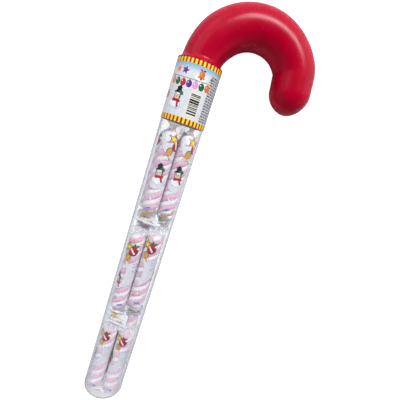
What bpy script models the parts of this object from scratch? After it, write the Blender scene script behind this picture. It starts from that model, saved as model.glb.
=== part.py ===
"""A cane-shaped pack of wrapped marshmallow twists, lying flat.

A clear tube, shut at the bottom, holds three layers of four wrapped twists. A printed sleeve goes round
the tube's top, and a red hook-shaped handle is plugged into its mouth. The tube lies along +Y, the hook
bends towards +X, and +Z is up. The origin is under the middle of the pack's bounding box, on the surface
that the pack lies on. Lengths are in metres.
"""

import math

import bmesh
import bpy
from mathutils import Matrix, Vector

MM = 0.001

# Clear tube
TUBE_RADIUS = 24.8 * MM
TUBE_WALL = 0.8 * MM
TUBE_FLOOR = 1.2 * MM
TUBE_TOP = 420.4 * MM
TUBE_FOOT_ROUNDING = 2.5 * MM
TURNED_SIDES = 32

# Printed sleeve round the tube
CLEARANCE = 0.3 * MM
SLEEVE_RADIUS = 25.4 * MM
SLEEVE_THICKNESS = 0.3 * MM
SLEEVE_BOTTOM = 355.9 * MM
SLEEVE_TOP = TUBE_TOP

# Hook-shaped handle: a round bar along three arcs, the last one tight, and a straight end with a dome
COLLAR_BOTTOM = TUBE_TOP + CLEARANCE
COLLAR_HEIGHT = 1.0 * MM
COLLAR_RADIUS = SLEEVE_RADIUS
PLUG_DEPTH = 10.0 * MM
PLUG_RADIUS = TUBE_RADIUS - TUBE_WALL - CLEARANCE
PLUG_LEAD_IN = 1.2 * MM
BEND_START = 421.2 * MM
BEND_ARCS = ((55.9 * MM, 86.6), (52.4 * MM, 61.1), (24.6 * MM, 23.9))
HOOK_STRAIGHT = 17.1 * MM
HOOK_RADII = (22.1 * MM, 24.0 * MM, 23.8 * MM, 23.2 * MM, 23.2 * MM)
NECK_HEIGHT = 3.6 * MM
HOOK_TIP_LENGTH = 24.4 * MM
HOOK_TIP_FULLNESS = 1.85
HOOK_SIDES = 24
STATION_SPACING = 5.5 * MM
HOOK_TIP_RINGS = 5

# Wrapped twists
LAYER_NAMES = ("lower", "middle", "upper")
LAYER_PITCH = 120.8 * MM
LOWEST_TWIST_END = 9.2 * MM
PLACE_NAMES = ("front_left", "front_right", "back_right", "back_left")
# Angle of each place round the tube's axis, in degrees from straight up towards -X
PLACE_ANGLES = {
    "lower": (57.0, -48.0, -134.0, 143.0),
    "middle": (50.0, -40.0, -130.0, 140.0),
    "upper": (33.0, -57.0, -147.0, 123.0),
}
TWIST_RIDGE = 9.7 * MM
# In the lowest layer the front twists are pressed wide, and the back ones are squeezed slim
LOWEST_RIDGES = (10.1 * MM, 10.1 * MM, 8.9 * MM, 8.9 * MM)
GROOVE_SHARE = 0.87
TWIST_STRANDS = 4
TWIST_LEAD = 26.0 * MM
TWIST_LENGTH = 97.5 * MM
TWIST_END_ROUNDING = 7.0 * MM
TWIST_END_SHARE = 0.62
STEPS_PER_LEAD = 8
# Angle of a strand's ridge at a twist's lower end, in degrees; the back twists take theirs from a step
RIDGE_ANGLES = {
    "upper_front_left": 90.0, "upper_front_right": 33.0,
    "middle_front_left": 85.0, "middle_front_right": 60.0,
    "lower_front_left": 75.0, "lower_front_right": 67.0,
}
RIDGE_ANGLE_STEP = 67.0

# Flat sealed ends of the wrappers, each given by its two edges as (x, z) from the tube's axis
FLAP_EDGES = {
    "front_left": ((-20.5 * MM, 9.0 * MM), (5.5 * MM, 16.8 * MM)),
    "front_right": ((-1.4 * MM, 12.0 * MM), (21.3 * MM, 4.6 * MM)),
    "back_right": ((20.5 * MM, -1.5 * MM), (7.5 * MM, -20.0 * MM)),
    "back_left": ((4.0 * MM, -19.5 * MM), (-20.0 * MM, -8.0 * MM)),
}
FLAP_HALF_THICKNESS = 0.4 * MM
FLAP_NECK_SHARE = 0.7
FLAP_NECK_AT = 0.25
FLAP_FLAT_AT = 0.5
UPPER_FLAP = 9.0 * MM
LOWER_FLAP = 13.5 * MM
LOWEST_FLAP = 7.2 * MM

# Front twists that slipped down in the tube, as (slip, length, upper flap, lower flap)
SLIPPED_TWISTS = {
    "middle_front_left": (9.0 * MM, 100.0 * MM, 9.0 * MM, 20.0 * MM),
    "lower_front_left": (4.9 * MM, 87.9 * MM, 7.5 * MM, 2.5 * MM),
    "lower_front_right": (4.9 * MM, 87.9 * MM, 7.5 * MM, 2.5 * MM),
}


def clear_scene():
    for obj in list(bpy.data.objects):
        bpy.data.objects.remove(obj, do_unlink=True)


def plastic(name, colour, roughness, alpha=1.0):
    """A Principled BSDF of one colour."""
    material = bpy.data.materials.new(name)
    material.use_nodes = True
    shader = material.node_tree.nodes["Principled BSDF"]
    shader.inputs["Base Color"].default_value = (*colour, 1.0)
    shader.inputs["Roughness"].default_value = roughness
    shader.inputs["Metallic"].default_value = 0.0
    shader.inputs["Alpha"].default_value = alpha
    return material


def section(centre, side, down, radius_side, radius_down, angles):
    """Points round a centre, in the plane of the side and down directions."""
    return [
        centre + side * (radius_side * math.sin(angle)) + down * (radius_down * math.cos(angle))
        for angle in angles
    ]


def flat_down_angles(count):
    """Angles of a polygon's corners, placed so that one of its sides faces straight down."""
    return [(corner + 0.5) * 2.0 * math.pi / count for corner in range(count)]


def corner_radius(radius, count):
    """The corner radius of a polygon whose flats touch a circle."""
    return radius / math.cos(math.pi / count)


def skin(name, rings, material, closed=False):
    """One closed body over rings of points; a ring of one point is a pole."""
    mesh = bmesh.new()
    rows = [[mesh.verts.new(point) for point in ring] for ring in rings]
    pairs = list(zip(rows, rows[1:]))
    if closed:
        pairs.append((rows[-1], rows[0]))
    for lower, upper in pairs:
        count = max(len(lower), len(upper))
        for corner in range(count):
            after = (corner + 1) % count
            face = [lower[corner % len(lower)], lower[after % len(lower)]]
            face += [upper[after % len(upper)], upper[corner % len(upper)]]
            mesh.faces.new(dict.fromkeys(face))
    if not closed:
        for row in (rows[0], rows[-1]):
            if len(row) > 2:
                mesh.faces.new(row)
    bmesh.ops.recalc_face_normals(mesh, faces=mesh.faces)
    data = bpy.data.meshes.new(name)
    mesh.to_mesh(data)
    mesh.free()
    data.shade_smooth()
    data.set_sharp_from_angle(angle=math.radians(35.0))
    data.materials.append(material)
    obj = bpy.data.objects.new(name, data)
    bpy.context.collection.objects.link(obj)
    return obj


def turned(name, profile, material, closed=False):
    """A body turned round the tube's axis, from (radius, height) pairs."""
    side = Vector((1.0, 0.0, 0.0))
    down = Vector((0.0, 0.0, -1.0))
    angles = flat_down_angles(TURNED_SIDES)
    rings = []
    for radius, height in profile:
        centre = Vector((0.0, height, 0.0))
        if radius == 0.0:
            rings.append([centre])
        else:
            reach = corner_radius(radius, TURNED_SIDES)
            rings.append(section(centre, side, down, reach, reach, angles))
    return skin(name, rings, material, closed)


def clear_tube(material):
    """A cup with a rounded foot; its mouth is shut by the handle's plug."""
    inner = TUBE_RADIUS - TUBE_WALL
    middle = TUBE_RADIUS - TUBE_FOOT_ROUNDING
    foot = [
        (
            middle + TUBE_FOOT_ROUNDING * math.sin(angle),
            TUBE_FOOT_ROUNDING * (1.0 - math.cos(angle)),
        )
        for angle in (0.0, math.radians(30.0), math.radians(60.0), math.radians(90.0))
    ]
    wall = [(TUBE_RADIUS, TUBE_TOP), (inner, TUBE_TOP), (inner, TUBE_FLOOR)]
    return turned("clear_tube", [(0.0, 0.0), *foot, *wall, (0.0, TUBE_FLOOR)], material)


def label_sleeve(material):
    """The printed sleeve, a thin ring outside the tube."""
    inner = SLEEVE_RADIUS - SLEEVE_THICKNESS
    profile = [
        (SLEEVE_RADIUS, SLEEVE_BOTTOM),
        (SLEEVE_RADIUS, SLEEVE_TOP),
        (inner, SLEEVE_TOP),
        (inner, SLEEVE_BOTTOM),
    ]
    return turned("label_sleeve", profile, material, closed=True)


def hook_path():
    """The bend's arcs as (start point, heading, radius, distance begun), its end, heading and length."""
    point = Vector((0.0, BEND_START, 0.0))
    heading = math.pi / 2.0
    length = 0.0
    arcs = []
    for radius, degrees in BEND_ARCS:
        angle = math.radians(degrees)
        arcs.append((point.copy(), heading, radius, length))
        centre = point + radius * Vector((math.sin(heading), -math.cos(heading), 0.0))
        heading -= angle
        point = centre + radius * Vector((-math.sin(heading), math.cos(heading), 0.0))
        length += radius * angle
    return arcs, point, heading, length


def hook_frame(distance):
    """The bar's middle and its heading at a distance along the bend."""
    arcs, end, end_heading, bend_length = hook_path()
    if distance >= bend_length:
        forward = Vector((math.cos(end_heading), math.sin(end_heading), 0.0))
        return end + forward * (distance - bend_length), end_heading
    start, heading, radius, begun = [arc for arc in arcs if arc[3] <= distance][-1]
    centre = start + radius * Vector((math.sin(heading), -math.cos(heading), 0.0))
    turned_heading = heading - (distance - begun) / radius
    spoke = Vector((-math.sin(turned_heading), math.cos(turned_heading), 0.0))
    return centre + radius * spoke, turned_heading


def hook_radius(share):
    """The bar's radius at a share of its length, eased between the stated radii."""
    place = min(max(share, 0.0), 1.0) * (len(HOOK_RADII) - 1)
    index = min(int(place), len(HOOK_RADII) - 2)
    ease = 0.5 - 0.5 * math.cos(math.pi * (place - index))
    return HOOK_RADII[index] + (HOOK_RADII[index + 1] - HOOK_RADII[index]) * ease


def hook_stations(full_length):
    """Distances along the bar, evenly spaced in each of its stretches."""
    breaks = [NECK_HEIGHT] + [arc[3] for arc in hook_path()[0][1:]]
    breaks += [full_length - HOOK_STRAIGHT, full_length]
    distances = [breaks[0]]
    for begin, end in zip(breaks, breaks[1:]):
        parts = math.ceil((end - begin) / STATION_SPACING)
        distances += [begin + (end - begin) * part / parts for part in range(1, parts + 1)]
    return distances


def hook_ring(distance, radius, roll):
    """A round, upright section of the bar, its middle in the hook's dipped plane."""
    centre, heading = hook_frame(distance)
    middle = Matrix.Rotation(roll, 3, "Y") @ centre
    side = Vector((math.sin(heading), -math.cos(heading), 0.0))
    down = Vector((0.0, 0.0, -1.0))
    reach = corner_radius(radius, HOOK_SIDES)
    return section(middle, side, down, reach, reach, flat_down_angles(HOOK_SIDES))


def tip_share(share):
    """How much of its radius the rounded tip has left at a share of its length."""
    return (1.0 - share ** HOOK_TIP_FULLNESS) ** (1.0 / HOOK_TIP_FULLNESS)


def hook_handle(material):
    """Plug, collar, bent bar and rounded tip in one moulding."""
    full_length = hook_path()[3] + HOOK_STRAIGHT
    roll = hook_roll(full_length)
    collar_top = COLLAR_BOTTOM + COLLAR_HEIGHT
    straight_rings = (
        (PLUG_RADIUS - PLUG_LEAD_IN, COLLAR_BOTTOM - PLUG_DEPTH),
        (PLUG_RADIUS, COLLAR_BOTTOM - PLUG_DEPTH + PLUG_LEAD_IN),
        (PLUG_RADIUS, COLLAR_BOTTOM),
        (COLLAR_RADIUS, COLLAR_BOTTOM),
        (COLLAR_RADIUS, collar_top),
    )
    side = Vector((1.0, 0.0, 0.0))
    down = Vector((0.0, 0.0, -1.0))
    angles = flat_down_angles(HOOK_SIDES)
    rings = []
    for radius, height in straight_rings:
        reach = corner_radius(radius, HOOK_SIDES)
        rings.append(section(Vector((0.0, height, 0.0)), side, down, reach, reach, angles))
    for distance in hook_stations(full_length):
        rings.append(hook_ring(distance, hook_radius(distance / full_length), roll))
    for station in range(1, HOOK_TIP_RINGS):
        share = math.sin(0.5 * math.pi * station / HOOK_TIP_RINGS)
        distance = full_length + HOOK_TIP_LENGTH * share
        rings.append(hook_ring(distance, HOOK_RADII[-1] * tip_share(share), roll))
    pole = Matrix.Rotation(roll, 3, "Y") @ hook_frame(full_length + HOOK_TIP_LENGTH)[0]
    rings.append([pole])
    return skin("hook_handle", rings, material)


def hook_roll(full_length):
    """How far the hook's plane dips, so that the lying pack touches down on the hook as well."""
    dips = []
    for distance in hook_stations(full_length)[1:]:
        room = SLEEVE_RADIUS - hook_radius(distance / full_length)
        dips.append(room / hook_frame(distance)[0].x)
    return math.asin(min(dips))


def twist_end_share(distance_to_end):
    """How much of its radius a twist has left near one of its soft ends."""
    if distance_to_end >= TWIST_END_ROUNDING:
        return 1.0
    missing = 1.0 - distance_to_end / TWIST_END_ROUNDING
    return 1.0 - (1.0 - TWIST_END_SHARE) * missing * missing


def wrapped_twist(name, place_name, centre, ridge, ridge_angle, spans, material):
    """Four strands twisted to the right, with a flat sealed flap of wrapper at each end."""
    bottom, length, upper_flap, lower_flap = spans
    side = Vector((1.0, 0.0, 0.0))
    down = Vector((0.0, 0.0, -1.0))
    corners = 2 * TWIST_STRANDS
    steps = round(length / TWIST_LEAD * STEPS_PER_LEAD)
    left, right = [Vector((x, 0.0, z)) for x, z in FLAP_EDGES[place_name]]
    flap_middle = (left + right) / 2.0
    flap_side = (right - left).normalized()
    flap_down = Vector((flap_side.z, 0.0, -flap_side.x))
    flap_half_width = (right - left).length / 2.0

    def angles_at(height):
        turn = math.pi - ridge_angle - 2.0 * math.pi * height / TWIST_LEAD
        return [turn + 2.0 * math.pi * corner / corners for corner in range(corners)]

    def flap_ring(height, flatness):
        end = ridge * TWIST_END_SHARE
        middle = centre.lerp(flap_middle, flatness) + Vector((0.0, bottom + height, 0.0))
        half_width = end + (flap_half_width - end) * flatness
        half_thickness = end + (FLAP_HALF_THICKNESS - end) * flatness
        angles = angles_at(min(max(height, 0.0), length))
        return section(middle, flap_side, flap_down, half_width, half_thickness, angles)

    rings = [
        flap_ring(-lower_flap, 1.0),
        flap_ring(-FLAP_FLAT_AT * lower_flap, 1.0),
        flap_ring(-FLAP_NECK_AT * lower_flap, FLAP_NECK_SHARE),
    ]
    for step in range(steps + 1):
        height = length * step / steps
        middle = centre + Vector((0.0, bottom + height, 0.0))
        share = twist_end_share(min(height, length - height))
        ring = []
        for corner, angle in enumerate(angles_at(height)):
            radius = ridge * share * (1.0 if corner % 2 == 0 else GROOVE_SHARE)
            ring += section(middle, side, down, radius, radius, [angle])
        rings.append(ring)
    rings += [
        flap_ring(length + FLAP_NECK_AT * upper_flap, FLAP_NECK_SHARE),
        flap_ring(length + FLAP_FLAT_AT * upper_flap, 1.0),
        flap_ring(length + upper_flap, 1.0),
    ]
    return skin(name, rings, material)


def layer_of_twists(layer, material):
    """Four twists side by side, each touching the tube's wall but for the clearance."""
    layer_name = LAYER_NAMES[layer]
    layer_bottom = LOWEST_TWIST_END + layer * LAYER_PITCH
    steady = (0.0, TWIST_LENGTH, UPPER_FLAP, LOWEST_FLAP if layer == 0 else LOWER_FLAP)
    twists = []
    for place, place_name in enumerate(PLACE_NAMES):
        ridge = LOWEST_RIDGES[place] if layer == 0 else TWIST_RIDGE
        angle = math.radians(PLACE_ANGLES[layer_name][place])
        reach = TUBE_RADIUS - TUBE_WALL - CLEARANCE - ridge
        centre = reach * Vector((-math.sin(angle), 0.0, math.cos(angle)))
        key = f"{layer_name}_{place_name}"
        steady_angle = RIDGE_ANGLE_STEP * (len(PLACE_NAMES) * layer + place) + 45.0
        slip, length, upper_flap, lower_flap = SLIPPED_TWISTS.get(key, steady)
        spans = (layer_bottom - slip, length, upper_flap, lower_flap)
        # A strand's turn is counted from its layer's bottom, however far the twist slipped
        ridge_angle = math.radians(RIDGE_ANGLES.get(key, steady_angle)) - 2.0 * math.pi * slip / TWIST_LEAD
        name = f"wrapped_twist_{key}"
        twists.append(wrapped_twist(name, place_name, centre, ridge, ridge_angle, spans, material))
    return twists


def place_pack(pieces):
    """Move the pack so that the origin lies under the middle of its box."""
    corners = [vertex.co for piece in pieces for vertex in piece.data.vertices]
    low = [min(corner[axis] for corner in corners) for axis in range(3)]
    high = [max(corner[axis] for corner in corners) for axis in range(3)]
    shift = Vector((-(low[0] + high[0]) / 2.0, -(low[1] + high[1]) / 2.0, -low[2]))
    for piece in pieces:
        piece.data.transform(Matrix.Translation(shift))
    print("tube axis at x, z (mm):", round(shift.x / MM, 3), round(shift.z / MM, 3))
    print("tube bottom at y (mm):", round(shift.y / MM, 3))
    print("size (mm):", [round((high[axis] - low[axis]) / MM, 2) for axis in range(3)])


def build():
    clear_scene()
    red = plastic("red_plastic", (0.50, 0.004, 0.025), 0.38)
    clear = plastic("clear_plastic", (0.90, 0.91, 0.93), 0.06, alpha=0.3)
    printed = plastic("printed_sleeve", (0.80, 0.82, 0.86), 0.35)
    wrapped = plastic("wrapped_marshmallow", (0.86, 0.66, 0.74), 0.45)
    pieces = [
        hook_handle(red),
        clear_tube(clear),
        label_sleeve(printed),
    ]
    for layer in range(len(LAYER_NAMES)):
        pieces += layer_of_twists(layer, wrapped)
    place_pack(pieces)


build()
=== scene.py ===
# %% [markdown]
# # A cane-shaped pack of marshmallow twists
#
# The pack lies on its back: a clear tube full of wrapped pink and cream twists, a printed sleeve round its
# top, and a red hook plugged into its mouth. Its sizes come from a packed construction model, the frame.
# This lesson dresses that frame: each cell makes one piece or one finish and puts it where the frame says.

# %% Load the frame
import math
import random

import bmesh
import bpy
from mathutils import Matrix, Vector, noise


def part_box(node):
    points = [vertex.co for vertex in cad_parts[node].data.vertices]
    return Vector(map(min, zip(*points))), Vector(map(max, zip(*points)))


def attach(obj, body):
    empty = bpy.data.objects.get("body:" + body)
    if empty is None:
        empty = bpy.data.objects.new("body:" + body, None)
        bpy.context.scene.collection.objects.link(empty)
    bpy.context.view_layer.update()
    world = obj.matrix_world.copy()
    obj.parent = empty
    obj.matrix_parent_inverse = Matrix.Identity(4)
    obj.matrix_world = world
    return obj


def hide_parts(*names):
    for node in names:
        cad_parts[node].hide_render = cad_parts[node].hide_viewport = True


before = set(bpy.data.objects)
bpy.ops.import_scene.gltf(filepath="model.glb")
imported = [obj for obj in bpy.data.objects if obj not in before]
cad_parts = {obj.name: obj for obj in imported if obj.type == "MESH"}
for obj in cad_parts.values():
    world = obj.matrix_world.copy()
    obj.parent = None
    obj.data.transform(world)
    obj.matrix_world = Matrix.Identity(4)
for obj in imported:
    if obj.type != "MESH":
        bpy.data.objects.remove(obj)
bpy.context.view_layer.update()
MM = 0.001
print("frame nodes:", len(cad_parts))

# %% [markdown]
# ## Places read from the frame
#
# The tube lies along Y. Its box gives its middle line, its foot and its mouth, and everything round or in
# the tube is placed from those numbers. So the looks can't drift away from the construction.

# %% Places read from the frame
TUBE_LOW, TUBE_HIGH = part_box("clear_tube")
SLEEVE_LOW, SLEEVE_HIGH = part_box("label_sleeve")
AXIS_X = (TUBE_LOW.x + TUBE_HIGH.x) / 2.0
AXIS_Z = (TUBE_LOW.z + TUBE_HIGH.z) / 2.0
TUBE_FOOT = TUBE_LOW.y
TUBE_MOUTH = TUBE_HIGH.y
TUBE_RADIUS = (TUBE_HIGH.x - TUBE_LOW.x) / 2.0
SLEEVE_RADIUS = (SLEEVE_HIGH.x - SLEEVE_LOW.x) / 2.0
AXIS = Vector((AXIS_X, 0.0, AXIS_Z))
print("tube radius and length in mm:", round(TUBE_RADIUS / MM, 2), round((TUBE_MOUTH - TUBE_FOOT) / MM, 1))

# %% [markdown]
# ## The camera
#
# The photograph looks almost straight down, from over the upper part of the tube, and is turned so that the
# tube leans. A camera needs a place, a point to look at and a lean. The three directions of its view are
# worked out with two cross products, which is easier to steer than three angles.

# %% The camera
CAMERA_PLACE = Vector((AXIS_X, 90.6 * MM, 362.0 * MM))
CAMERA_TARGET = Vector((-5.3 * MM, 28.6 * MM, AXIS_Z))
CAMERA_LEAN = math.radians(18.13)
CAMERA_LENS = 25.96
CAMERA_SENSOR = 36.0

bpy.ops.object.camera_add(location=CAMERA_PLACE)
camera = bpy.context.object
backward = (CAMERA_PLACE - CAMERA_TARGET).normalized()
lean = Vector((-math.sin(CAMERA_LEAN), math.cos(CAMERA_LEAN), 0.0))
rightward = lean.cross(backward).normalized()
upward = backward.cross(rightward)
for row in range(3):
    for column, direction in enumerate((rightward, upward, backward)):
        camera.matrix_world[row][column] = direction[row]
camera.data.lens = CAMERA_LENS
camera.data.sensor_width = CAMERA_SENSOR
bpy.context.scene.camera = camera
print("camera lens in mm:", camera.data.lens)

# %% [markdown]
# ## Helpers for shader nodes
#
# The sky and every finish are small graphs of nodes. One helper places a node with its numbers and another
# links sockets, so that each finish below reads as a list of parts and a list of wires.

# %% Helpers for shader nodes
SMOOTH_STEP = ("interpolation_type", "SMOOTHSTEP")
MULTIPLY = ("operation", "MULTIPLY")
MIX_COLOURS = ("data_type", "RGBA")


def set_inputs(placed, values):
    """Set a node's inputs; an underscore in a name stands for a space."""
    for label, value in values.items():
        placed.inputs[label.replace("_", " ")].default_value = value


def node(tree, kind, mode=None, **values):
    """Place a shader node, set its mode, a pair of property and value, and then its inputs."""
    placed = tree.nodes.new(f"ShaderNode{kind}")
    if mode:
        setattr(placed, *mode)
    set_inputs(placed, values)
    return placed


def wire(tree, *wires):
    """Link nodes; each wire is a source node, its output, a target node and its input."""
    for source, output, target, entry in wires:
        tree.links.new(source.outputs[output], target.inputs[entry])


print("node helpers ready")

# %% [markdown]
# ## Light and view
#
# Product pictures like this are taken on a white table under one large soft lamp, high up on the far side.
# The hook's crown mirrors it all along the bend, so it is a wide strip. Three weaker lamps and a pale sky
# fill in the other sides. The sky is dim overhead and in front, and the near lamp isn't mirrored, which keeps
# the red deep where it faces the camera. Light passes many clear layers here, so the limit on transparent
# layers is raised.

# %% Light and view
WORLD_SIDES = 0.60
WORLD_OVERHEAD = 0.06
WORLD_FRONT_SHARE = 0.30
WORLD_BACK_SHARE = 1.20
DIM_FROM = 0.30
DIM_FULLY = 0.76
WORLD_COLOUR = (0.97, 0.98, 1.0, 1.0)
LAMP_COLOUR = (0.955, 0.975, 1.0)
CLEAR_LAYERS = 48
# Each lamp's place, the point that it looks at, its width and height, and its power
LAMPS = {
    "far_lamp": ((0.44, 1.41, 1.45), (0.0, 0.10, 0.0), (1.15, 0.50), 38.5),
    "left_lamp": ((-0.85, 0.80, 0.90), (0.0, 0.0, 0.0), (1.2, 1.1), 5.0),
    "right_lamp": ((0.85, 0.75, 0.45), (0.0, 0.0, 0.0), (0.9, 0.9), 1.6),
    "near_lamp": ((-0.55, -0.80, 0.70), (-0.10, -0.18, 0.0), (1.2, 1.0), 4.6),
}


def studio_world():
    """A white sky that dims towards the point overhead and towards the front."""
    world = bpy.data.worlds.new("studio")
    bpy.context.scene.world = world
    world.use_nodes = True
    tree = world.node_tree
    sky = tree.nodes["Background"]
    sky.inputs["Color"].default_value = WORLD_COLOUR
    place = node(tree, "TexCoord")
    split = node(tree, "SeparateXYZ")
    rise = {"From_Min": DIM_FROM, "From_Max": DIM_FULLY, "To_Min": WORLD_SIDES, "To_Max": WORLD_OVERHEAD}
    spread = node(tree, "MapRange", SMOOTH_STEP, **rise)
    share = node(tree, "MapRange", From_Min=-1.0, To_Min=WORLD_FRONT_SHARE, To_Max=WORLD_BACK_SHARE)
    both = node(tree, "Math", MULTIPLY)
    wire(
        tree, (place, "Generated", split, 0), (split, "Z", spread, "Value"), (split, "Y", share, "Value"),
        (spread, "Result", both, 0), (share, "Result", both, 1), (both, "Value", sky, "Strength"),
    )


def soft_lamp(name, place, target, size, power):
    """A rectangular lamp, size wide and high, that looks at a target."""
    bpy.ops.object.light_add(type="AREA", location=place)
    lamp = bpy.context.object
    lamp.name = name
    lamp.data.shape = "RECTANGLE"
    lamp.data.size, lamp.data.size_y = size
    lamp.data.energy = power
    lamp.data.color = LAMP_COLOUR
    lamp.rotation_euler = (Vector(place) - Vector(target)).to_track_quat("Z", "Y").to_euler()


studio_world()
for lamp_name, settings in LAMPS.items():
    soft_lamp(lamp_name, *settings)
scene = bpy.context.scene
scene.objects["near_lamp"].visible_glossy = False
scene.view_settings.view_transform = "Standard"
scene.cycles.transparent_max_bounces = CLEAR_LAYERS
print("lamps:", len(LAMPS))

# %% [markdown]
# ## Helpers for modelling by hand
#
# Operators work on what is selected, so every step starts by selecting exactly one object, and vertices are
# picked by a rule on their place. A finished piece has its object at the origin and its place in its mesh.

# %% Helpers for modelling by hand


def only(piece):
    """Leave edit mode, and select just this piece."""
    if bpy.context.mode != "OBJECT":
        bpy.ops.object.mode_set(mode="OBJECT")
    bpy.ops.object.select_all(action="DESELECT")
    piece.select_set(True)
    bpy.context.view_layer.objects.active = piece
    return piece


def settle(piece):
    """Move the piece's place, turn and size into its mesh."""
    only(piece)
    bpy.ops.object.transform_apply(location=True, rotation=True, scale=True)
    return piece


def edit(piece):
    """Open the piece in edit mode with everything selected."""
    only(piece)
    bpy.ops.object.mode_set(mode="EDIT")
    bpy.ops.mesh.select_all(action="SELECT")


def pick(piece, rule):
    """In edit mode, select just the vertices whose place fits the rule."""
    mesh = bmesh.from_edit_mesh(piece.data)
    mesh.select_mode = {"VERT"}
    for vertex in mesh.verts:
        vertex.select = bool(rule(vertex.co))
    mesh.select_flush_mode()
    bmesh.update_edit_mesh(piece.data)


def use_modifier(piece, kind, **settings):
    """Add a modifier, set it up and apply it."""
    only(piece)
    bpy.ops.object.modifier_add(type=kind)
    modifier = piece.modifiers[-1]
    for name, value in settings.items():
        setattr(modifier, name, value)
    bpy.ops.object.modifier_apply(modifier=modifier.name)


def copy_of(piece, name):
    """A copy with its own mesh."""
    twin = piece.copy()
    twin.data = piece.data.copy()
    twin.name = name
    bpy.context.collection.objects.link(twin)
    return twin


def join(name, parts):
    """One object from several."""
    only(parts[0])
    for part in parts:
        part.select_set(True)
    bpy.ops.object.join()
    whole = bpy.context.object
    whole.name = name
    return whole


def smooth(piece, degrees):
    """Shade smooth, with sharp edges above an angle."""
    only(piece)
    bpy.ops.object.shade_smooth_by_angle(angle=math.radians(degrees))


def belongs(piece, slot, *nodes):
    """The piece moves with the pack and stands for these nodes, whose frame parts are hidden. The slot is not
    used.
    """
    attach(piece, "root")
    if nodes:
        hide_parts(*nodes)


print("helpers ready")

# %% [markdown]
# ## Sweeping a ring along a line
#
# The hook, the tube, the twists and their wrappers are all rings that travel: extrude the ring, move it on,
# turn it and change its size. One helper does that by hand, ring by ring. Without a window the rotate
# operator turns the other way round, so the angle that goes in is the negative one.

# %% Sweeping a ring along a line


def swept(name, sides, stations, turn_axis="Y"):
    """Rings at stations of (middle, half width, half height, turn in radians since the last one)."""
    middle, width, height, _ = stations[0]
    bpy.ops.object.select_all(action="DESELECT")
    bpy.ops.mesh.primitive_circle_add(
        vertices=sides, radius=1.0, location=middle, rotation=(math.pi / 2.0, 0.0, 0.0)
    )
    piece = bpy.context.object
    piece.scale = (width, height, 1.0)
    piece.name = name
    settle(piece)
    edit(piece)
    for before, station in zip(stations, stations[1:]):
        middle, width, height, turn = station
        bpy.ops.mesh.extrude_region_move(TRANSFORM_OT_translate={"value": middle - before[0]})
        growth = (width / before[1], 1.0, height / before[2])
        if turn_axis == "Z":
            growth = (growth[0], growth[0], growth[2])
        bpy.ops.transform.resize(value=growth, center_override=middle)
        if turn:
            bpy.ops.transform.rotate(value=-turn, orient_axis=turn_axis, center_override=middle)
    return piece


def face_outwards():
    """In edit mode, turn all faces outwards, and then leave it."""
    bpy.ops.mesh.select_all(action="SELECT")
    bpy.ops.mesh.normals_make_consistent(inside=False)
    bpy.ops.object.mode_set(mode="OBJECT")


def close_ends(piece, first, last):
    """Shut the sweep's two end rings, each picked by a rule, and turn all faces outwards."""
    for rule in (first, last):
        pick(piece, rule)
        bpy.ops.mesh.edge_face_add()
    face_outwards()


def on_axis(y, radius):
    """A station round the tube's middle line."""
    return AXIS + Vector((0.0, y, 0.0)), radius, radius, 0.0


print("sweep ready")

# %% [markdown]
# ## Finishes: shared effects
#
# Real plastic, ink and sugar are never one flat colour. Two small node groups are used in every material:
# one mixes a colour with a second one in soft spots, and the other is a number that wanders between two
# values, which serves as roughness and as the fine uneven height of a bump.

# %% Finishes: shared effects
WHITE = (1.0, 1.0, 1.0, 1.0)
NOISE_DETAIL = 3.0
MOTTLE_SPAN = (0.35, 0.65)
SPREAD_SPAN = (0.3, 0.7)


def noise_group(name, kind, output, **inputs):
    """A node group with named sockets and a noise on Object coordinates, at the input Scale."""
    group = bpy.data.node_groups.new(name, "ShaderNodeTree")
    for label, value in inputs.items():
        socket_kind = "NodeSocketFloat" if isinstance(value, float) else "NodeSocketColor"
        socket = group.interface.new_socket(name=label, in_out="INPUT", socket_type=socket_kind)
        socket.default_value = value
    group.interface.new_socket(name=output, in_out="OUTPUT", socket_type=kind)
    start = group.nodes.new("NodeGroupInput")
    end = group.nodes.new("NodeGroupOutput")
    place = node(group, "TexCoord")
    texture = node(group, "TexNoise", Detail=NOISE_DETAIL)
    wire(group, (place, "Object", texture, "Vector"), (start, "Scale", texture, "Scale"))
    return group, start, end, texture


def mottle_group():
    """Colour that wanders between two colours in soft spots."""
    inputs = {"Main": WHITE, "Second": WHITE, "Scale": 200.0, "Reach": 0.5}
    group, start, end, texture = noise_group("mottle", "NodeSocketColor", "Color", **inputs)
    spread = node(group, "MapRange", From_Min=MOTTLE_SPAN[0], From_Max=MOTTLE_SPAN[1])
    mix = node(group, "Mix", MIX_COLOURS)
    wire(
        group, (texture, "Fac", spread, "Value"), (start, "Reach", spread, "To Max"),
        (spread, "Result", mix, "Factor"), (start, "Main", mix, "A"), (start, "Second", mix, "B"),
        (mix, "Result", end, "Color"),
    )
    return group


def spread_group():
    """A number that wanders between two values."""
    inputs = {"Low": 0.3, "High": 0.5, "Scale": 200.0}
    group, start, end, texture = noise_group("spread", "NodeSocketFloat", "Value", **inputs)
    spread = node(group, "MapRange", From_Min=SPREAD_SPAN[0], From_Max=SPREAD_SPAN[1])
    wire(
        group, (texture, "Fac", spread, "Value"), (start, "Low", spread, "To Min"),
        (start, "High", spread, "To Max"), (spread, "Result", end, "Value"),
    )
    return group


MOTTLE = mottle_group()
SPREAD = spread_group()
print("node groups:", MOTTLE.name, SPREAD.name)

# %% [markdown]
# ## Finishes: one recipe for opaque materials
#
# Hook, inks and marshmallow differ in colour, spots, gloss and grain, and are otherwise made alike. Colours
# are given as a screen shows them, from 0 to 255, and turned into the linear numbers that shaders use.

# %% Finishes: one recipe for opaque materials
GLOSS_SPOTS = 2.3


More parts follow.
